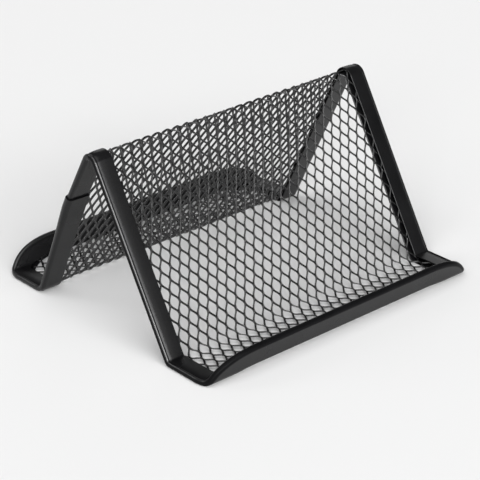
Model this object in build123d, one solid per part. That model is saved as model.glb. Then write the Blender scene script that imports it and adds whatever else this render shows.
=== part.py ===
"""Two-sided business card stand: one expanded-metal sheet folded into an A-frame with a card tray
on each side, its whole edge bound in a folded steel strip.

Frame: X runs along the ridge, the front tray faces -Y, +Z is up. The origin lies on the table,
under the middle of the ridge. Lengths are in millimetres and angles in degrees.
"""
from build123d import *
from math import atan2, cos, degrees, hypot, radians, sin, tan
import os

# Overall form, given on the middle surface of the sheet
width = 100.0                # over the bound side edges
foot_half_span = 30.0        # middle of the stand to the corner of slope and tray floor
slope_angle = 61.0           # slope above the table
tray_depth = 15.9            # corner of the slope to corner of the lip
lip_length = 7.7             # corner of the tray floor to the lip's edge
lip_lean = 20.0              # lip leaning out from upright

# Bend radii on the middle surface
ridge_bend_radius = 2.2
foot_bend_radius = 1.5
lip_bend_radius = 1.8

# Edge binding: a steel strip folded round the sheet's edge, with a rolled bead outside
strip_wall = 0.4
binding_width = 5.8          # bead's outer side to the flange's cut edge
bead_radius = 0.8
bead_flats = 12              # the bead's roundness is drawn with narrow flats
sheet_slot = 1.0             # room for the sheet between the two flanges

# Rounded ends of the lips, followed by the bead
corner_inset = 0.8           # bead already drawn in this far where it reaches the lip's fold
corner_run = 4.5             # length of tray edge over which it is drawn in
lip_end_run = 7.7            # along the ridge direction, from the fold to the lip's edge
corner_start_radius = 10.0
corner_fold_radius = 1.8
lip_end_radius = 9.0

# Lap joints of the front and rear bindings on the rear legs
left_seam_distance = 21.8    # down the slope from the ridge corner
right_seam_distance = 9.38   # up the slope from the foot corner
lap_length = 4.0
joggle_length = 1.0
lap_clearance = 0.03

# Expanded-metal sheet
sheet_thickness = 0.8
sheet_edge_clearance = 0.1
cell_width = 5.6
cell_length = 10.1
strand_width = 0.7
lattice_turn = 4.9           # lattice turned on the sheet
fold_margin = 0.7            # flat, unpierced strip beside a fold
ridge_flats = 8              # the roll over the ridge is drawn with narrow flats
smallest_gap_side = 1.0      # clipped gaps narrower than this stay closed
tray_sheet_cover = 1.0       # tray sheet's reach under the side flanges
lip_sheet_cover = 1.3        # tray sheet's reach under the lip's flanges
lip_sheet_inset = 7.0        # tray sheet's side edge at the lip, in from the stand's side

overrun = 5.0                # cutters reach this far past what they cut

# Derived values
half_width = width / 2
bead_x = half_width - bead_radius
flange_x = half_width - binding_width
slot_half = sheet_slot / 2
flange_outer = slot_half + strip_wall
sheet_half = sheet_thickness / 2
lip_y = foot_half_span + tray_depth
bead_lip_length = lip_length - bead_radius
flange_width = bead_x - flange_x


def bend_tangent(radius, turn):
    """Distance from a corner to the start of its bend."""
    return radius * tan(radians(turn) / 2)


lip_turn = 90.0 - lip_lean
foot_turn = slope_angle
ridge_turn = 2 * slope_angle
foot_tangent = bend_tangent(foot_bend_radius, foot_turn)
lip_tangent = bend_tangent(lip_bend_radius, lip_turn)
ridge_tangent = bend_tangent(ridge_bend_radius, ridge_turn)
floor_z = flange_outer
ridge_z = floor_z + foot_half_span * tan(radians(slope_angle))
slope_length = hypot(foot_half_span, ridge_z - floor_z)
slope_along = Vector(0, cos(radians(slope_angle)), sin(radians(slope_angle)))
seam_drops = [left_seam_distance, slope_length - right_seam_distance]
lip_up = Vector(0, -sin(radians(lip_lean)), cos(radians(lip_lean)))


# Points of the folded profile, in the YZ plane
lip_corner = Vector(0, -lip_y, floor_z)
foot_corner = Vector(0, -foot_half_span, floor_z)
ridge_corner = Vector(0, 0, ridge_z)


def to_rear(point):
    """The same point on the rear half."""
    return Vector(point.X, -point.Y, point.Z)


def left_of(start, end):
    """Unit vector square to a run, on the card side of the sheet."""
    run = (end - start).normalized()
    return Vector(0, -run.Z, run.Y)


def offset_points(points, offset):
    """Corners of the profile moved off the middle surface, towards the cards."""
    moved = [points[0] + left_of(points[0], points[1]) * offset]
    for before, corner, after in zip(points, points[1:], points[2:]):
        n1 = left_of(before, corner)
        n2 = left_of(corner, after)
        moved.append(corner + (n1 + n2) * (offset / (1 + n1.dot(n2))))
    moved.append(points[-1] + left_of(points[-2], points[-1]) * offset)
    return moved


def offset_radii(points, radii, offset):
    """Bend radii at an offset: a bend round the card side shrinks, the ridge grows."""
    found = []
    for before, corner, after, radius in zip(points, points[1:], points[2:], radii):
        turn = (corner - before).cross(after - corner).X
        found.append(radius - offset if turn > 0 else radius + offset)
    return found


def profile_line(points, radii, offset):
    """Edges of the bent profile at an offset from the middle surface."""
    moved = offset_points(points, offset)
    return FilletPolyline(*moved, radius=offset_radii(points, radii, offset)).edges()


def profile_band(points, radii, inner, outer, x_from, x_to):
    """The profile between two offsets, carried along the ridge direction."""
    near = profile_line(points, radii, inner)
    far = profile_line(points, radii, outer)
    start = Edge.make_line(offset_points(points, inner)[0], offset_points(points, outer)[0])
    end = Edge.make_line(offset_points(points, inner)[-1], offset_points(points, outer)[-1])
    face = make_face([*near, *far, start, end])
    return extrude(face.moved(Location((x_from, 0, 0))), amount=x_to - x_from, dir=(1, 0, 0))


def at_x(point, x):
    return Vector(x, point.Y, point.Z)


lip_bead = lip_corner + lip_up * bead_lip_length
corner_turn = degrees(atan2(corner_inset, corner_run))
corner_tangent = bend_tangent(corner_start_radius, corner_turn)
draw_in = Vector(0, -lip_y + corner_run, floor_z)
leg_start = Vector(0, draw_in.Y + corner_tangent + fold_margin, floor_z)


def bead_outline(radius):
    """Round outline of the bead, with a flat on its outer, upper and lower sides."""
    return RegularPolygon(radius, bead_flats, major_radius=False, rotation=180 / bead_flats)


def bound_edge():
    """Section of a bound edge: a round bead on the right, and two flanges with the sheet's slot."""
    across = Pos(-flange_width / 2, 0) * Rectangle(flange_width, 2 * flange_outer)
    slot = Pos(-flange_width / 2, 0) * Rectangle(flange_width, sheet_slot)
    return across - slot + bead_outline(bead_radius)


def leg(end, side):
    """One bound side, from the tray's rounded corner up to where its strip ends."""
    corners = [leg_start, foot_corner, end]
    radii = [foot_bend_radius]
    if end.Y > 0:
        corners.insert(2, ridge_corner)
        radii.append(ridge_bend_radius)
    path = FilletPolyline(*[at_x(corner, side * bead_x) for corner in corners], radius=radii)
    plane = Plane(origin=path @ 0, x_dir=(side, 0, 0), z_dir=path % 0)
    return sweep(plane * bound_edge(), path=path)


def tray_bead():
    """Bead of a tray's left end: in at the fold, up the lip's slanted end, across to the middle."""
    corners = [at_x(leg_start, -bead_x), at_x(draw_in, -bead_x), at_x(lip_corner, corner_inset - bead_x),
               at_x(lip_bead, corner_inset + lip_end_run - bead_x), lip_bead]
    path = FilletPolyline(*corners, radius=[corner_start_radius, corner_fold_radius, lip_end_radius])
    plane = Plane(origin=path @ 0, x_dir=(-1, 0, 0), z_dir=path % 0)
    return sweep(plane * bead_outline(bead_radius), path=path)


def corner_cutters():
    """What lies outside the bead's line at the rounded left end of a lip."""
    far = half_width + overrun
    top = lip_length + overrun
    outside_y = -lip_y - top
    fold_x = corner_inset - bead_x
    floor_outline = [(-bead_x, draw_in.Y), (fold_x, -lip_y), (fold_x, outside_y), (-far, outside_y),
                     (-far, draw_in.Y)]
    tray_cut = extrude(make_face(Wire.make_polygon([Vector(x, y, -overrun) for x, y in floor_outline])),
                       amount=top + overrun, dir=(0, 0, 1))
    slant_x = fold_x + lip_end_run
    slant = [(fold_x, 0), (slant_x, bead_lip_length), (slant_x, top), (-far, top), (-far, 0)]
    lip_plane = Plane(origin=lip_corner, x_dir=(1, 0, 0), z_dir=Vector(1, 0, 0).cross(lip_up))
    lip_cut = extrude(lip_plane * make_face(Wire.make_polygon([Vector(x, v) for x, v in slant])),
                      amount=overrun, both=True)
    return [tray_cut, lip_cut]


def tray_flanges():
    """Both flanges of a tray's left end: along the floor's side and across the lip to the middle."""
    run = [lip_bead, lip_corner, leg_start]
    lip_foot = lip_corner + lip_up * (bead_lip_length - flange_width)
    above = Plane(origin=lip_foot, x_dir=(1, 0, 0), z_dir=lip_up)
    lip_room = above * Box(width, overrun, lip_length + overrun,
                           align=(Align.CENTER, Align.CENTER, Align.MIN))
    cutters = corner_cutters()
    solids = []
    for inner, outer in ((slot_half, flange_outer), (-flange_outer, -slot_half)):
        side_band = profile_band(run, [lip_bend_radius], inner, outer, -bead_x, -flange_x)
        lip_band = profile_band(run, [lip_bend_radius], inner, outer, -bead_x, 0) & lip_room
        solids += [side_band - cutters, lip_band - cutters]
    return solids


def binding(left_end, right_end):
    """One bound tray from seam to seam, standing on the flat of its lower flange."""
    tray_end = tray_bead() + tray_flanges()
    return tray_end + mirror(tray_end, about=Plane.YZ) + leg(left_end, -1) + leg(right_end, 1)


def section(radius, reach):
    """Filled outline of a bound edge on the right: a round bead with a slab behind it."""
    slab = Pos((flange_x + bead_x) / 2, 0) * Rectangle(flange_width, 2 * reach)
    return slab + Pos(bead_x, 0) * bead_outline(radius)


def lap_sleeve(end, side):
    """Joggled end of the rear strip, which takes the front strip's end inside it."""
    inner = section(bead_radius + lap_clearance, flange_outer + lap_clearance)
    inner += Pos(flange_x, 0) * Rectangle(2 * strip_wall, 2 * (flange_outer + lap_clearance))
    outer = section(bead_radius + lap_clearance + strip_wall, flange_outer + lap_clearance + strip_wall)
    slot = Pos((flange_x + bead_x) / 2 - bead_radius, 0) * Rectangle(flange_width, sheet_slot)
    plane = Plane(origin=end, x_dir=(1, 0, 0), z_dir=slope_along)
    sleeve = extrude(plane * (outer - inner), amount=lap_length + lap_clearance)
    joggle = extrude(plane * (outer - slot), amount=-joggle_length)
    whole = sleeve + joggle
    return whole if side > 0 else mirror(whole, about=Plane.YZ)


def seam_point(distance):
    """Point on the rear slope, a distance below the ridge corner."""
    return to_rear(ridge_corner - slope_along * distance)


def front_binding():
    """Front strip: round the front tray, over the ridge and down to both lap joints."""
    ends = [seam_point(drop + lap_length) for drop in seam_drops]
    return binding(*ends)


def rear_binding():
    """Rear strip: round the rear tray and up to both lap joints, which it sleeves."""
    ends = [to_rear(seam_point(drop + lap_length + lap_clearance)) for drop in seam_drops]
    strip = binding(*ends)
    for end, side in zip(ends, (-1, 1)):
        strip += lap_sleeve(end, side)
    return mirror(strip, about=Plane.XZ)


def clip(polygon, inside, cross):
    """Part of a convex polygon on one side of a line."""
    kept = []
    for a, b in zip(polygon, polygon[1:] + polygon[:1]):
        if inside(a):
            kept.append(a)
        if inside(a) != inside(b):
            kept.append(cross(a, b))
    return kept


def clip_to_band(polygon, half_u, low_v, high_v):
    """Part of a gap that lies within a panel's pierced area."""
    for axis, limit, sign in ((0, half_u, 1), (0, -half_u, -1), (1, high_v, 1), (1, low_v, -1)):
        def inside(p, axis=axis, limit=limit, sign=sign):
            return sign * (limit - p[axis]) >= 0

        def cross(a, b, axis=axis, limit=limit):
            t = (limit - a[axis]) / (b[axis] - a[axis])
            return (a[0] + (b[0] - a[0]) * t, a[1] + (b[1] - a[1]) * t)

        polygon = clip(polygon, inside, cross)
        if len(polygon) < 3:
            return []
    spans = [max(p[axis] for p in polygon) - min(p[axis] for p in polygon) for axis in (0, 1)]
    return polygon if min(spans) > smallest_gap_side else []


def lattice_gaps(half_u, low_v, high_v):
    """Diamond gaps of the expanded metal between two folds, clipped at the folds."""
    half_cell_w = cell_width / 2
    half_cell_l = cell_length / 2
    side_distance = half_cell_w * half_cell_l / hypot(half_cell_w, half_cell_l)
    open_share = 1 - strand_width / 2 / side_distance
    c = cos(radians(lattice_turn))
    s = sin(radians(lattice_turn))

    def turned(u, v):
        return (u * c - v * s, u * s + v * c)

    rows = int((high_v - low_v + 2 * half_u * s) / half_cell_l) + 2
    columns = int(half_u / half_cell_w) + 2
    gaps = []
    for row in range(-rows, rows + 1):
        for column in range(-columns, columns + 1):
            if (row + column) % 2:
                continue
            cu, cv = turned(column * half_cell_w, row * half_cell_l)
            cv += (low_v + high_v) / 2
            tips = [(half_cell_w, 0), (0, half_cell_l), (-half_cell_w, 0), (0, -half_cell_l)]
            diamond = []
            for u, v in tips:
                tu, tv = turned(u * open_share, v * open_share)
                diamond.append((cu + tu, cv + tv))
            gap = clip_to_band(diamond, half_u, low_v, high_v)
            if gap:
                gaps.append(gap)
    return gaps


def slope_sheet():
    """Flat pierced panel of the front slope, between its two folds."""
    half_u = bead_x - bead_radius - sheet_edge_clearance
    low_v = foot_tangent + fold_margin
    high_v = slope_length - ridge_tangent - fold_margin
    outline = [(-half_u, low_v), (half_u, low_v), (half_u, high_v), (-half_u, high_v)]
    gaps = lattice_gaps(half_u - strand_width, low_v + fold_margin, high_v - fold_margin)
    net = Face(Wire.make_polygon([Vector(*p) for p in outline]),
               [Wire.make_polygon([Vector(*p) for p in gap]) for gap in gaps])
    plane = Plane(origin=foot_corner, x_dir=(1, 0, 0), z_dir=Vector(1, 0, 0).cross(slope_along))
    return extrude(plane * net, amount=sheet_half, both=True), len(gaps)


def ridge_roll(offset):
    """Points of the roll over the ridge, front to rear, at an offset from the middle surface."""
    centre_z = ridge_z - ridge_bend_radius / cos(radians(slope_angle))
    radius = ridge_bend_radius + offset
    turns = [radians(ridge_turn * step / ridge_flats - slope_angle) for step in range(ridge_flats + 1)]
    points = [Vector(0, radius * sin(turn), centre_z + radius * cos(turn)) for turn in turns]
    tab = slope_along * fold_margin
    return [points[0] - tab, *points, points[-1] - to_rear(tab)]


def ridge_sheet():
    """Roll of the sheet over the ridge, with a row of gaps along its top."""
    half_u = bead_x - bead_radius - sheet_edge_clearance
    outline = [*ridge_roll(sheet_half), *reversed(ridge_roll(-sheet_half))]
    face = make_face(Wire.make_polygon([at_x(point, -half_u) for point in outline]))
    roll = extrude(face, amount=2 * half_u, dir=(1, 0, 0))
    top_reach = ridge_bend_radius * sin(radians(slope_angle)) - fold_margin
    gaps = lattice_gaps(half_u - strand_width, -top_reach, top_reach)
    cutters = [extrude(make_face(Wire.make_polygon([Vector(u, v, ridge_z / 2) for u, v in gap])),
                       amount=ridge_z, dir=(0, 0, 1)) for gap in gaps]
    return roll - cutters, len(gaps)


def tray_sheet():
    """Sheet of the front tray: foot fold, pierced floor and the fold that goes up into the lip."""
    half_u = flange_x + tray_sheet_cover
    slope_start = foot_corner + slope_along * (foot_tangent + fold_margin)
    lip_end = lip_corner + lip_up * (lip_length - binding_width + lip_sheet_cover)
    run = [lip_end, lip_corner, foot_corner, slope_start]
    sheet = profile_band(run, [lip_bend_radius, foot_bend_radius], -sheet_half, sheet_half, -half_u, half_u)
    lip_width = half_width - lip_sheet_inset
    for side in (-1, 1):
        trim = Box(overrun, lip_length + lip_tangent, lip_length * 2,
                   align=(Align.MIN if side > 0 else Align.MAX, Align.MAX, Align.CENTER))
        sheet -= Pos(side * lip_width, -lip_y + lip_tangent, floor_z) * trim
    gaps = lattice_gaps(half_u - strand_width, -lip_y + lip_tangent + fold_margin,
                        -foot_half_span - foot_tangent - fold_margin)
    cutters = [extrude(make_face(Wire.make_polygon([Vector(u, v, -overrun) for u, v in gap])),
                       amount=floor_z + overrun + sheet_thickness, dir=(0, 0, 1)) for gap in gaps]
    return sheet - cutters, len(gaps)


front_slope, slope_gaps = slope_sheet()
front_tray, tray_gaps = tray_sheet()
ridge, ridge_gaps = ridge_sheet()

parts = {
    "front_binding": front_binding(),
    "rear_binding": rear_binding(),
    "front_slope_mesh": front_slope,
    "rear_slope_mesh": front_slope.rotate(Axis.Z, 180),
    "ridge_mesh": ridge,
    "front_tray_mesh": front_tray,
    "rear_tray_mesh": front_tray.rotate(Axis.Z, 180),
}

os.makedirs("parts", exist_ok=True)
for name, shape in parts.items():
    solids = shape.solids()
    export_step(solids[0] if len(solids) == 1 else Compound(solids), f"parts/{name}.step")
    print(name, len(solids), "solid,", round(sum(s.volume for s in solids), 1), "mm3")
print("gaps: slope", slope_gaps, "ridge", ridge_gaps, "tray", tray_gaps)
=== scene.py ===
# %% [markdown]
# # A card stand of black expanded metal
# The stand is one sheet of expanded steel, folded into an A-frame with a card tray on each side, and two
# folded steel strips that bind its edge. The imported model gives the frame: sizes, places and collision.
# This lesson makes the looks round it: the fine net with its twisted strands, the strips with their
# rolled bead and lap joints, the satin powder coat, and a pale studio.

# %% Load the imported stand
import math

import bmesh
import bpy
from mathutils import Matrix, Vector


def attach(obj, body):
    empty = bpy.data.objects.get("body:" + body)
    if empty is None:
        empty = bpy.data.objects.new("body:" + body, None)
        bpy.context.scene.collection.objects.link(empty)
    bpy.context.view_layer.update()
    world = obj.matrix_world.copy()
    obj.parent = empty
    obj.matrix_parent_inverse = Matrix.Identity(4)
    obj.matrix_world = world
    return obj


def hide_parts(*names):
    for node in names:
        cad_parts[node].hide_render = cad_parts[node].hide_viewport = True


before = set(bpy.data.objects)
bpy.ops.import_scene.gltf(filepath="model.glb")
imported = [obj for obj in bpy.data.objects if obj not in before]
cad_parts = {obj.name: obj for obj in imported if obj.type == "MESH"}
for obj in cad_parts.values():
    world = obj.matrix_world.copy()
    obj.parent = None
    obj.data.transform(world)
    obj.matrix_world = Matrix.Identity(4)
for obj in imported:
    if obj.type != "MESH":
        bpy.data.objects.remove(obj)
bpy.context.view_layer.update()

MM = 0.001
body = "root"
print("nodes:", sorted(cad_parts))

# %% [markdown]
# ## The fold
# On the real stand a flat sheet is bent in a press. So every piece here is first modelled flat, where a
# net is a pattern and a strip is a rounded frame, and is folded last. A flat point has three numbers: across
# the stand, along the sheet from the ridge (front is negative), and off the sheet towards the cards. The
# fold walks down one half of the stand, bend by bend, and both halves share it because they are alike.

# %% Stretches and bends of the sheet
slope_angle = math.radians(61.0)
lip_turn = math.radians(70.0)
foot_half_span = 30.0 * MM
tray_depth = 15.9 * MM
lip_length = 7.7 * MM
ridge_radius = 2.5 * MM
foot_radius = 1.5 * MM
lip_radius = 1.8 * MM
floor_height = 0.9 * MM
half_width = 50.0 * MM

ridge_tangent = ridge_radius * math.tan(slope_angle)
foot_tangent = foot_radius * math.tan(slope_angle / 2)
lip_tangent = lip_radius * math.tan(lip_turn / 2)
slope_length = foot_half_span / math.cos(slope_angle)
ridge_height = floor_height + foot_half_span * math.tan(slope_angle)
ridge_top = ridge_height - ridge_radius / math.cos(slope_angle) + ridge_radius

# Length and turn of each stretch, from the top of the ridge down to the lip's edge
stretches = {
    "ridge": (ridge_radius * slope_angle, -slope_angle),
    "slope": (slope_length - ridge_tangent - foot_tangent, 0.0),
    "foot": (foot_radius * slope_angle, slope_angle),
    "floor": (tray_depth - foot_tangent - lip_tangent, 0.0),
    "fold": (lip_radius * lip_turn, lip_turn),
    "lip": (lip_length - lip_tangent, 0.0),
}
starts = {}
sheet_reach = 0.0
for stretch_name, (stretch_length, stretch_turn) in stretches.items():
    starts[stretch_name] = sheet_reach
    sheet_reach += stretch_length
print("sheet from lip to lip:", round(2 * sheet_reach / MM, 1), "mm")

# %% [markdown]
# A pressed stand is never quite true. The left rear leg of this one bulges where its two strips lap, and its
# foot is bent less sharply than the other three. Between the legs nothing holds the net to the sharp bend
# of the foot, so it turns more gently there. Two functions give these faults, and the fold asks them both.

# %% Bulge of the left rear leg
bulge = 1.3 * MM
bulge_distance = 19.5 * MM       # down the leg from the ridge's bend
bulge_place = starts["slope"] + bulge_distance


def out_of_true(across, along):
    """How far the rear slope stands off its plane near the left lap joint."""
    if along <= starts["slope"] or along >= starts["foot"] or across >= 0:
        return 0.0
    near = (along - starts["slope"]) / (bulge_place - starts["slope"])
    far = (starts["foot"] - along) / (starts["foot"] - bulge_place)
    return bulge * min(near, far) * -across / half_width


print("bulge at", round(bulge_place / MM, 1), "mm along the sheet")

# %% Softer bend at the foot
soft_foot_radius = 5.5 * MM
held_from = 43.0 * MM            # from here outwards a leg holds the sheet to the sharp bend
held_over = 5.0 * MM             # stretch over which the soft bend turns into the sharp one
left_rear_freedom = 0.6          # share of the soft bend that the left rear leg keeps
soft_reach = (soft_foot_radius - foot_radius) * math.tan(slope_angle / 2)


def bends_at(across, along):
    """Length, turn and radius of each stretch, at a distance from the middle of the stand."""
    least = left_rear_freedom if along > 0 > across else 0.0
    free = min(max((held_from - abs(across)) / held_over, least), 1.0)
    radius = foot_radius + (soft_foot_radius - foot_radius) * free
    more = soft_reach * free
    change = {"slope": -more, "foot": 2 * more, "floor": -more}
    found = []
    for name, (length, turn) in stretches.items():
        bend_radius = length / turn if turn else 0.0
        if name == "foot":
            bend_radius = radius
        found.append((length + change.get(name, 0.0), turn, bend_radius))
    return found


print("foot bends with", foot_radius / MM, "to", soft_foot_radius / MM, "mm radius")

# %% Fold a flat point onto the stand
def fold(point):
    """Where a point of the flat sheet goes when the sheet is bent."""
    across, along, off = point
    off += out_of_true(across, along)
    left = abs(along)
    out, height, heading = 0.0, ridge_top, 0.0
    for length, turn, radius in bends_at(across, along):
        step = min(left, length)
        if turn:
            part = turn * step / length
            out += radius * (math.sin(heading + part) - math.sin(heading))
            height += radius * (math.cos(heading) - math.cos(heading + part))
            heading += part
        else:
            out += step * math.cos(heading)
            height += step * math.sin(heading)
        left -= step
        if left <= 0:
            break
    out -= off * math.sin(heading)
    height += off * math.cos(heading)
    return Vector((across, math.copysign(out, along), max(height, 0.0)))


lip_edge = fold((0.0, -sheet_reach, 0.0))
print("edge of the front lip:", [round(value / MM, 1) for value in lip_edge], "mm")

# %% [markdown]
# ## Making a piece from a bmesh
# Every piece ends in the same way: its flat points are folded, and it gets its material and the
# nodes of the imported model that it replaces.

# %% Finish a flat bmesh as a folded piece
def make_piece(name, bm, material, slot, *nodes):
    """Folds a flat bmesh, makes an object of it and gives it its place in the frame."""
    for face in bm.faces:
        face.smooth = True
    for vert in bm.verts:
        vert.co = fold(vert.co)
    mesh = bpy.data.meshes.new(name)
    bm.to_mesh(mesh)
    bm.free()
    mesh.materials.append(material)
    piece = bpy.data.objects.new(name, mesh)
    bpy.context.scene.collection.objects.link(piece)
    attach(piece, body)
    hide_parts(*nodes)
    print(name, len(mesh.polygons), "faces")
    return piece


# %% [markdown]
# ## The powder coat
# Both the strips and the net have a black powder coat: satin, a little uneven where the powder flowed, with
# a fine orange peel that only shows where light grazes it. A single dark colour would look like a hole in
# the picture, so the colour, the roughness and the bump each follow their own noise. The strips' shine has
# painted shade and highlight: an attribute that they carry dulls it where the bead should look shaded and
# raises it on the crown for a painted highlight line.

# %% Noises of the coat
cloud_scale = 140.0
flow_scale = 60.0
noise_range = (0.3, 0.7)


def add_node(tree, kind, **inputs):
    """A node with its input values set."""
    node = tree.nodes.new(kind)
    for socket, value in inputs.items():
        node.inputs[socket.replace("_", " ")].default_value = value
    return node


def add_noise(tree, scale, detail):
    """A noise on Object coordinates. Its scale is in grains per metre."""
    place = tree.nodes.new("ShaderNodeTexCoord")
    noise = add_node(tree, "ShaderNodeTexNoise", Scale=scale, Detail=detail)
    tree.links.new(place.outputs["Object"], noise.inputs["Vector"])
    return noise.outputs["Fac"]


print("cloud grains:", round(1 / cloud_scale / MM, 1), "mm")

# %% Black powder coat
black = (0.005, 0.005, 0.0054)
tone_range = (0.8, 1.25)

# Values of the attribute that paints shade and highlight into the shine: painted shade, plain, painted
# highlight
painted_shade = -0.4
plain = 0.0
painted_highlight = 1.0


def powder_coat(name, shine, highlight_shine, gloss_range, peel_size, peel_height):
    """Satin black powder coat, a little uneven, with orange peel, and with painted highlight and painted
    shade in its shine.
    """
    material = bpy.data.materials.new(name)
    material.use_nodes = True
    tree = material.node_tree
    coat = tree.nodes["Principled BSDF"]

    tone = tree.nodes.new("ShaderNodeValToRGB")
    for stop, position, strength in zip(tone.color_ramp.elements, noise_range, tone_range):
        stop.position = position
        stop.color = (*[channel * strength for channel in black], 1)
    tree.links.new(add_noise(tree, cloud_scale, detail=3.0), tone.inputs["Fac"])
    tree.links.new(tone.outputs["Color"], coat.inputs["Base Color"])

    gloss = add_node(tree, "ShaderNodeMapRange", From_Min=noise_range[0], From_Max=noise_range[1],
                     To_Min=gloss_range[0], To_Max=gloss_range[1])
    tree.links.new(add_noise(tree, flow_scale, detail=2.0), gloss.inputs["Value"])
    tree.links.new(gloss.outputs["Result"], coat.inputs["Roughness"])

    # The attribute paints light into the shine: below plain it dulls the coat for painted shade, at its top
    # it raises the shine for a painted highlight.
    painted_shine = tree.nodes.new("ShaderNodeAttribute")
    painted_shine.attribute_name = "painted_shine"
    painted_shine_level = add_node(tree, "ShaderNodeMapRange", From_Min=plain, From_Max=painted_highlight,
                      To_Min=shine, To_Max=highlight_shine)
    painted_shine_level.clamp = False
    tree.links.new(painted_shine.outputs["Fac"], painted_shine_level.inputs["Value"])
    tree.links.new(painted_shine_level.outputs["Result"], coat.inputs["Specular IOR Level"])

    bump = add_node(tree, "ShaderNodeBump", Strength=1.0, Distance=peel_height)
    tree.links.new(add_noise(tree, 1 / peel_size, detail=2.0), bump.inputs["Height"])
    tree.links.new(bump.outputs["Normal"], coat.inputs["Normal"])
    print(name, "has", len(tree.nodes), "nodes")
    return material


# The strips' shine is raised on the bead's crown for a painted highlight and lowered for painted shade. The
# net has no such attribute, so its shine is even.
strip_coat = powder_coat("strip_coat", shine=0.24, highlight_shine=0.72, gloss_range=(0.24, 0.31),
                         peel_size=0.7 * MM, peel_height=0.006 * MM)
net_coat = powder_coat("net_coat", shine=0.7, highlight_shine=0.7, gloss_range=(0.22, 0.30),
                       peel_size=0.5 * MM, peel_height=0.004 * MM)

# %% [markdown]
# ## The net
# Expanded metal is slit and pulled, not woven. Before the pull it is a row of narrow strips side by side,
# joined where the slits stop. The pull makes each strip sway: it is bonded to its right neighbour, crosses
# over, is bonded to its left neighbour, and so on. The strips also tip, so each strand lies like a slat of
# a blind. So the net is modelled in that way: two strips made from a grid, swayed against each other,
# repeated across the sheet and welded at the bonds.

# %% Sway two neighbouring strips
cell_width = 3.5 * MM
cell_length = 6.3 * MM
strand_width = 0.49 * MM
sheet_gauge = 0.36 * MM
strand_tilt = math.radians(36.0)
lattice_turn = math.radians(4.9)
rows_per_cell = 18
bond_rows = 3
strand_spread = 0.25             # a strand is broader than a bond by this share
corner_ease = 0.04               # rounds the turn from a bond into a strand
net_shift = Vector((0.5, -1.15, 0)) * MM

strip_pitch = cell_width / 2
half_strand = strand_width / 2 * math.cos(strand_tilt)
lift = strand_width / 2 * math.sin(strand_tilt)
sway_reach = strip_pitch / 2 - half_strand
row_step = cell_length / rows_per_cell
net_half_width = 47.6 * MM


def sway(row):
    """Lean of a strip at a row: 1 and -1 on its bonds, and between them on its strands."""
    half = rows_per_cell // 2
    phase = row % rows_per_cell
    side = 1 if phase < half else -1
    step = phase % half
    if step <= bond_rows:
        return side
    share = (step - bond_rows) / (half - bond_rows)
    return side * (1 - 2 * (share - corner_ease * math.sin(2 * math.pi * share)))


def wave(row):
    """The same lean for the side of a strip that is bonded to nothing, which bends in a smooth wave."""
    return math.cos(2 * math.pi * (row - bond_rows / 2) / rows_per_cell)


def add_strip(bm, number, rows):
    """One swaying, tipped strip of the net, made from a grid one face wide."""
    grid = bmesh.ops.create_grid(bm, x_segments=1, y_segments=rows, size=0.5,
                                 matrix=Matrix.Diagonal((1, rows, 1, 1)))
    hand = 1 if number % 2 == 0 else -1
    for vert in grid["verts"]:
        row = round(vert.co.y)
        edge = 1 if vert.co.x > 0 else -1
        lean = hand * sway(row)
        broad = 1 + strand_spread * (1 - lean * lean)
        line = lean if edge * lean > 0 else hand * wave(row)
        vert.co.x = number * strip_pitch + line * sway_reach + edge * half_strand * broad
        vert.co.y = row * row_step
        vert.co.z = lift * (lean - edge * broad)


# The lattice is turned on the sheet, so the strips are longer and more than the sheet needs
slant = math.sin(lattice_turn)
cells_each_way = math.ceil((sheet_reach + net_half_width * slant) / cell_length)
net_rows = 2 * cells_each_way * rows_per_cell
pair_count = 2 * math.ceil((net_half_width + sheet_reach * slant) / cell_width)
print("one strip sways", round(sway_reach / MM, 2), "mm to each side over", net_rows, "rows")

# %% Repeat the two strips, weld the bonds and turn the lattice
weld_distance = 0.01 * MM
net = bmesh.new()
for strip_number in (0, 1):
    add_strip(net, strip_number, net_rows)
bmesh.ops.spin(net, geom=net.verts[:] + net.edges[:] + net.faces[:], cent=(0, 0, 0), axis=(0, 0, 1),
               dvec=(cell_width, 0, 0), angle=0, steps=pair_count, use_merge=False, use_duplicate=True)
bmesh.ops.translate(net, verts=net.verts, vec=(-pair_count / 2 * cell_width, 0, 0))
bmesh.ops.remove_doubles(net, verts=net.verts, dist=weld_distance)
bmesh.ops.rotate(net, verts=net.verts, cent=(0, 0, 0), matrix=Matrix.Rotation(lattice_turn, 3, "Z"))
bmesh.ops.translate(net, verts=net.verts, vec=net_shift)
print("flat net:", len(net.faces), "faces,", 2 * pair_count + 2, "strips")

# %% [markdown]
# The net is trimmed where the strips hide its edge, then it gets its thickness. A small bevel on every
# edge stands for the powder, which rounds all the cut corners and catches the light along each strand.

# %% Trim, thicken and round the net
lip_cover = 2.5 * MM             # reach of the net under the lip's strip
fold_middle = starts["fold"] + stretches["fold"][0] / 2
net_end = fold_middle + lip_cover
coat_round = 0.06 * MM
sharp_angle = math.radians(50.0)
cut_distance = 0.001 * MM


def cut(bm, place, outward, drop_outside=False):
    """Cuts a flat bmesh along a line, and drops what lies outside it if that is asked for."""
    bmesh.ops.bisect_plane(bm, geom=bm.verts[:] + bm.edges[:] + bm.faces[:], dist=cut_distance,
                           plane_co=place, plane_no=outward, clear_outer=drop_outside)


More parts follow.
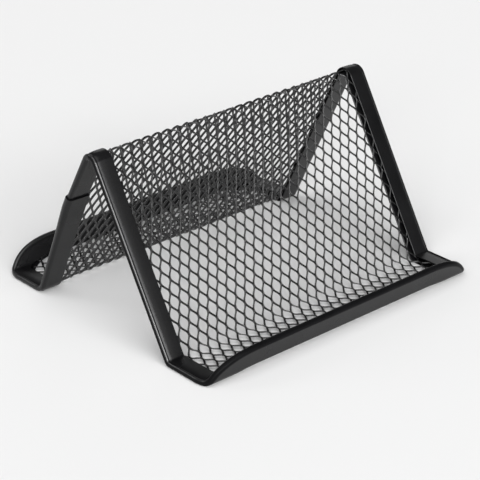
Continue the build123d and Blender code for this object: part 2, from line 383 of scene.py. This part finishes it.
for side in (-1, 1):
    cut(net, (side * net_half_width, 0, 0), (side, 0, 0), drop_outside=True)
    cut(net, (0, side * net_end, 0), (0, side, 0), drop_outside=True)
bmesh.ops.solidify(net, geom=net.faces[:], thickness=sheet_gauge)
bmesh.ops.recalc_face_normals(net, faces=net.faces)
middle = sum(vert.co.z for vert in net.verts) / len(net.verts)
bmesh.ops.translate(net, verts=net.verts, vec=(0, 0, -middle))
sharp = [edge for edge in net.edges if edge.is_manifold and edge.calc_face_angle() > sharp_angle]
bmesh.ops.bevel(net, geom=sharp, offset=coat_round, offset_type="OFFSET", segments=1, profile=0.5,
                affect="EDGES", material=-1, clamp_overlap=True)
print("thick net:", len(net.faces), "faces")

# %% [markdown]
# The sheet is one piece, but its five panels are separate in the frame, so the net is cut at the same folds.
# A cut leaves the strands open, and filling those small holes closes each panel.

# %% Cut the net into its five panels
panel_margin = 0.7 * MM
tray_half_width = 45.2 * MM
ridge_end = starts["slope"] + panel_margin
slope_end = starts["foot"] - panel_margin
panels = {
    "front_tray": (-net_end, -slope_end),
    "front_slope": (-slope_end, -ridge_end),
    "ridge": (-ridge_end, ridge_end),
    "rear_slope": (ridge_end, slope_end),
    "rear_tray": (slope_end, net_end),
}
for panel, (low, high) in panels.items():
    part = net.copy()
    if abs(high) < net_end:
        cut(part, (0, high, 0), (0, 1, 0), drop_outside=True)
    if abs(low) < net_end:
        cut(part, (0, low, 0), (0, -1, 0), drop_outside=True)
    if panel.endswith("tray"):
        for side in (-1, 1):
            cut(part, (side * tray_half_width, 0, 0), (side, 0, 0), drop_outside=True)
    bmesh.ops.holes_fill(part, edges=[edge for edge in part.edges if edge.is_boundary], sides=0)
    make_piece(panel + "_net", part, net_coat, "mesh", panel + "_mesh")
net.free()

# %% [markdown]
# ## The edge strips
# A steel strip is folded round the edge of the net: two flanges grip the sheet. The upper side has a small
# rolled bead along the edge, a shallow groove beside it and a crowned flange. The lower side only has a
# rounded edge. The line of the strip is a flat frame with rounded corners. An inset moves the whole outline
# inwards by an exact distance, so a chain of insets, each with its own rise, draws the section all round
# the frame at once.

# %% Outline of the bound edge, flat
# Where the edge turns in, and how far each turn reaches into the two sides that it joins
tray_corner_lead = 1.0 * MM
tray_corner_reaches = (2.7 * MM, 2.6 * MM)
lip_corner_inset = 6.5 * MM
lip_corner_reaches = (7.0 * MM, 11.0 * MM)
corner_cuts = {
    (half_width, fold_middle - tray_corner_lead): tray_corner_reaches,
    (half_width - lip_corner_inset, sheet_reach): lip_corner_reaches,
}
corner_steps = 10


def add_outline(bm):
    """Face with the stand's flat outline, each corner drawn as a curve between its two sides."""
    quarter = [(Vector((x, y, 0)), reaches) for (x, y), reaches in corner_cuts.items()]
    ring = [(Vector((p.x, -p.y, 0)), reaches[::-1]) for p, reaches in reversed(quarter)] + quarter
    ring += [(Vector((-p.x, p.y, 0)), reaches[::-1]) for p, reaches in reversed(ring)]
    points = []
    for index, (corner, reaches) in enumerate(ring):
        before = (ring[index - 1][0] - corner).normalized() * reaches[0]
        after = (ring[(index + 1) % len(ring)][0] - corner).normalized() * reaches[1]
        for step in range(corner_steps + 1):
            share = step / corner_steps
            points.append(corner + before * (1 - share) ** 2 + after * share ** 2)
    bm.faces.new([bm.verts.new(point) for point in points])
    print("outline:", len(ring), "corners,", len(points), "points")


skin = bmesh.new()
# Attribute that paints shade and highlight into the strips' shine
painted_shine_mark = skin.verts.layers.float.new("painted_shine")
add_outline(skin)

# %% [markdown]
# The section is a list for each side of the sheet: how much painted shade or painted highlight the shine
# gets there, and points that give the distance in from the edge and the height off the sheet, in
# millimetres.

# %% Section of the strip
outer_side = [(0.01, 0.24), (0.05, 0.48)]
crown = [(0.15, 0.70), (0.32, 0.86), (0.52, 0.92), (0.70, 0.88), (0.82, 0.79)]
groove = [(0.92, 0.74), (1.04, 0.77), (1.20, 0.84)]
upper_flange = [(1.50, 0.92), (1.95, 1.00), (2.60, 1.06), (3.40, 1.09), (5.55, 1.10), (5.72, 1.06),
                (5.80, 0.94)]
lower_edge = [(0.01, -0.24), (0.06, -0.40), (0.16, -0.56), (0.32, -0.70), (0.55, -0.80), (0.85, -0.87)]
lower_flange = [(1.20, -0.90), (6.60, -0.90), (6.72, -0.86), (6.80, -0.76)]
# The bead's outer side gets painted shade in its shine, its crown a painted highlight.
upper_section = [(painted_shade, outer_side), (painted_highlight, crown), (plain, groove + upper_flange)]
lower_section = [(painted_shade, lower_edge), (plain, lower_flange)]


def trace_section(bm, face, section):
    """Insets the outline step by step, so that it rises and falls as the section does."""
    reach, height = 0.0, 0.0
    # The outline starts with painted shade in its shine. Each step sets the painted shade, plain shine or
    # painted highlight of its points.
    for vert in face.verts:
        vert[painted_shine_mark] = painted_shade
    for painted_shine, points in section:
        for distance, rise in points:
            bmesh.ops.inset_region(bm, faces=[face], thickness=distance * MM - reach,
                                   depth=rise * MM - height, use_even_offset=True, use_boundary=True)
            reach, height = distance * MM, rise * MM
            for vert in face.verts:
                vert[painted_shine_mark] = painted_shine
    bmesh.ops.delete(bm, geom=[face], context="FACES_ONLY")


print("strip:", upper_flange[-1][0], "mm wide above,", lower_flange[-1][0], "mm below")

# %% Draw the section round the frame
upper = skin.faces[:][0]
upper.normal_update()
if upper.normal.z < 0:
    upper.normal_flip()
copied = bmesh.ops.duplicate(skin, geom=upper.verts[:] + upper.edges[:] + [upper])["geom"]
lower = [item for item in copied if isinstance(item, bmesh.types.BMFace)][0]
trace_section(skin, upper, upper_section)
trace_section(skin, lower, lower_section)
bmesh.ops.remove_doubles(skin, verts=skin.verts, dist=cut_distance)
bmesh.ops.recalc_face_normals(skin, faces=skin.faces)
highest = max(skin.faces, key=lambda face: face.calc_center_median().z)
if highest.normal.z < 0:
    bmesh.ops.reverse_faces(skin, faces=skin.faces)
print("flat strip:", len(skin.faces), "faces")

# %% [markdown]
# The skin needs edges wherever it bends, so it is sliced across at every bend before the fold. The front
# strip runs on over the ridge and ends on the rear legs, where the rear strip laps over it. The left lap
# shows: the rear strip is widened there and narrows again down the leg. The right one is nearly flush.

# %% Laps of the two strips, left (-1) and right (1)
seam_distances = {-1: 21.8 * MM, 1: 52.5 * MM}      # down the slope from the ridge's corner
lap_length = 4.0 * MM
lap_fade = {-1: 16.0 * MM, 1: 5.0 * MM}
lap_swell = {-1: 0.32 * MM, 1: 0.03 * MM}           # the rear strip's end is widened by this
pinch = {-1: 0.13 * MM, 1: 0.42 * MM}               # the front strip's end is pressed in by this
pinch_start = {-1: 0.0, 1: 0.3 * MM}
seams = {side: starts["slope"] + distance - ridge_tangent for side, distance in seam_distances.items()}
print("seams along the sheet:", [round(seam / MM, 1) for seam in seams.values()], "mm")

# %% Slice the strip at its bends and seams
bend_steps = 10
fade_steps = 5
slices = {0.0}
for stretch_name, (stretch_length, stretch_turn) in stretches.items():
    if stretch_turn:
        for step in range(bend_steps + 1):
            slices.add(starts[stretch_name] + stretch_length * step / bend_steps)
for place in list(slices):
    slices.add(-place)
soft_start = starts["foot"] - soft_reach
soft_length = stretches["foot"][0] + 2 * soft_reach
for step in range(bend_steps + 1):
    slices.add(soft_start + soft_length * step / bend_steps)
for side, seam in seams.items():
    for step in range(1, fade_steps + 1):
        slices.add(seam + lap_length + lap_fade[side] * step / fade_steps)
    for extra in (0.0, pinch_start[side], lap_length):
        slices.add(seam + extra)
for place in sorted(slices):
    cut(skin, (0, place, 0), (0, 1, 0))
cut(skin, (0, 0, 0), (1, 0, 0))
print("sliced strip:", len(skin.faces), "faces")

# %% [markdown]
# The painted shade and highlight in the shine differ round the stand. The rear half has no painted shade,
# and on the front right the whole bead gets painted shade.

# %% Painted shade and highlight in the bead's shine
painted_shine_mark = skin.verts.layers.float["painted_shine"]
# Rear half: no painted shade in the shine. Front right: painted shade over the whole bead, crown too.
for vert in skin.verts:
    if vert.co.y > 0:
        vert[painted_shine_mark] = max(vert[painted_shine_mark], plain)
    elif vert.co.x > 0 and vert[painted_shine_mark] != plain:
        vert[painted_shine_mark] = painted_shade
print("rubbed points:", sum(vert[painted_shine_mark] == painted_highlight for vert in skin.verts))

# %% Front and rear strips, lapped on the rear legs
def keep_run(bm, keep):
    """Drops the faces of the frame that the other strip makes."""
    gone = []
    for face in bm.faces:
        middle = face.calc_center_median()
        if not keep(middle.y, -1 if middle.x < 0 else 1):
            gone.append(face)
    bmesh.ops.delete(bm, geom=gone, context="FACES")


front = skin.copy()
keep_run(front, lambda along, side: along < seams[side] + lap_length)
front.normal_update()
for vert in front.verts:
    side = -1 if vert.co.x < 0 else 1
    if vert.co.y > seams[side] + pinch_start[side] - weld_distance:
        vert.co -= vert.normal * pinch[side]

rear = skin.copy()
keep_run(rear, lambda along, side: along > seams[side])
rear.normal_update()
for vert in rear.verts:
    side = -1 if vert.co.x < 0 else 1
    share = min(max(1 - (vert.co.y - seams[side] - lap_length) / lap_fade[side], 0.0), 1.0)
    vert.co += vert.normal * lap_swell[side] * share * share * (3 - 2 * share)
skin.free()
print("strips:", len(front.faces), "faces in front,", len(rear.faces), "behind")

# %% [markdown]
# The two skins get the wall of the strip, a small rounding on their cut edges, and normals that keep the
# broad flanges flat.

# %% Wall and rounding of the strips
strip_wall = 0.4 * MM
edge_round = 0.07 * MM
round_from = math.radians(55.0)
for name, strip in (("front", front), ("rear", rear)):
    piece = make_piece(name + "_edge_strip", strip, strip_coat, "binding", name + "_binding")
    wall = piece.modifiers.new("wall", "SOLIDIFY")
    wall.thickness = strip_wall
    wall.offset = -1
    rounding = piece.modifiers.new("rounding", "BEVEL")
    rounding.width = edge_round
    rounding.segments = 2
    rounding.limit_method = "ANGLE"
    rounding.angle_limit = round_from
    flats = piece.modifiers.new("flats", "WEIGHTED_NORMAL")
    flats.keep_sharp = True

# %% [markdown]
# ## Studio
# The stand is shown on an even, pale floor. A broad soft sun from above keeps the floor the same tone
# everywhere. Black metal shows mostly what it mirrors, so soft panels stand where the strips mirror them:
# in front for the lips and the legs, and low at the sides and behind for the lines of light on the beads.

# %% Floor and surroundings
floor_half_size = 6.0
floor_tone = 0.83
floor_roughness = 0.9
world_strength = 0.14

floor_bm = bmesh.new()
bmesh.ops.create_grid(floor_bm, x_segments=1, y_segments=1, size=floor_half_size)
floor_mesh = bpy.data.meshes.new("studio_floor")
floor_bm.to_mesh(floor_mesh)
floor_bm.free()
floor = bpy.data.objects.new("studio_floor", floor_mesh)
bpy.context.scene.collection.objects.link(floor)
floor_paint = bpy.data.materials.new("floor_paint")
floor_paint.use_nodes = True
paint = floor_paint.node_tree.nodes["Principled BSDF"]
paint.inputs["Base Color"].default_value = (floor_tone, floor_tone, floor_tone, 1)
paint.inputs["Roughness"].default_value = floor_roughness
paint.inputs["Specular IOR Level"].default_value = 0.0
floor_mesh.materials.append(floor_paint)

world = bpy.data.worlds.new("studio")
world.use_nodes = True
sky = world.node_tree.nodes["Background"]
sky.inputs["Color"].default_value = (1, 1, 1, 1)
sky.inputs["Strength"].default_value = world_strength
bpy.context.scene.world = world
print("floor:", 2 * floor_half_size, "m wide")

# %% Soft sun and panels
def aim_from(azimuth, elevation, distance, aim):
    """Place and axes of something that looks at a point: azimuth from the front, towards +X."""
    back = Vector((math.sin(azimuth) * math.cos(elevation), -math.cos(azimuth) * math.cos(elevation),
                   math.sin(elevation)))
    right = Vector((math.cos(azimuth), math.sin(azimuth), 0))
    place = Matrix((right, back.cross(right), back)).transposed().to_4x4()
    place.translation = aim + back * distance
    return place


def add_lamp(name, kind, azimuth, elevation, distance, **settings):
    """A lamp that looks at the stand."""
    lamp = bpy.data.lights.new(name, kind)
    for setting, value in settings.items():
        setattr(lamp, setting, value)
    lamp_object = bpy.data.objects.new(name, lamp)
    lamp_object.matrix_world = aim_from(math.radians(azimuth), math.radians(elevation), distance, Vector())
    bpy.context.scene.collection.objects.link(lamp_object)
    print(name, lamp.energy)


add_lamp("overhead", "SUN", azimuth=-55, elevation=62, distance=1.0, energy=1.69, angle=math.radians(70))
add_lamp("key_panel", "AREA", azimuth=-26, elevation=25, distance=10.0,
         energy=950.0, shape="RECTANGLE", size=12.4, size_y=2.2)
add_lamp("front_panel", "AREA", azimuth=1, elevation=22, distance=3.2,
         energy=26.0, shape="RECTANGLE", size=3.6, size_y=1.8)
add_lamp("left_panel", "AREA", azimuth=-80, elevation=20, distance=3.2,
         energy=6.0, shape="RECTANGLE", size=1.0, size_y=1.8)
add_lamp("back_panel", "AREA", azimuth=138, elevation=24, distance=3.2, energy=6.0, size=1.4)
add_lamp("rear_left_panel", "AREA", azimuth=-145, elevation=29, distance=3.2,
         energy=8.0, shape="RECTANGLE", size=1.0, size_y=0.8)

# %% [markdown]
# ## Camera
# The view is the photograph's. Its angle, distance and lens were fitted to the straight edges of the stand,
# so that the picture has the same perspective.

# %% Camera at the photograph's viewing angle
camera_azimuth = math.radians(-39.372)
camera_elevation = math.radians(25.617)
camera_roll = math.radians(-1.973)
camera_distance = 541.18 * MM
camera_aim = Vector((1.907, 0.023, 10.527)) * MM
picture_pixels = 480
focal_pixels = 1832.85
camera_data = bpy.data.cameras.new("camera")
camera_data.sensor_width = 36.0
camera_data.lens = focal_pixels / picture_pixels * camera_data.sensor_width
camera = bpy.data.objects.new("camera", camera_data)
camera.matrix_world = (aim_from(camera_azimuth, camera_elevation, camera_distance, camera_aim)
                       @ Matrix.Rotation(camera_roll, 4, "Z"))
bpy.context.scene.collection.objects.link(camera)
bpy.context.scene.camera = camera
bpy.context.scene.view_settings.view_transform = "Standard"
print("lens:", round(camera_data.lens, 1), "mm")
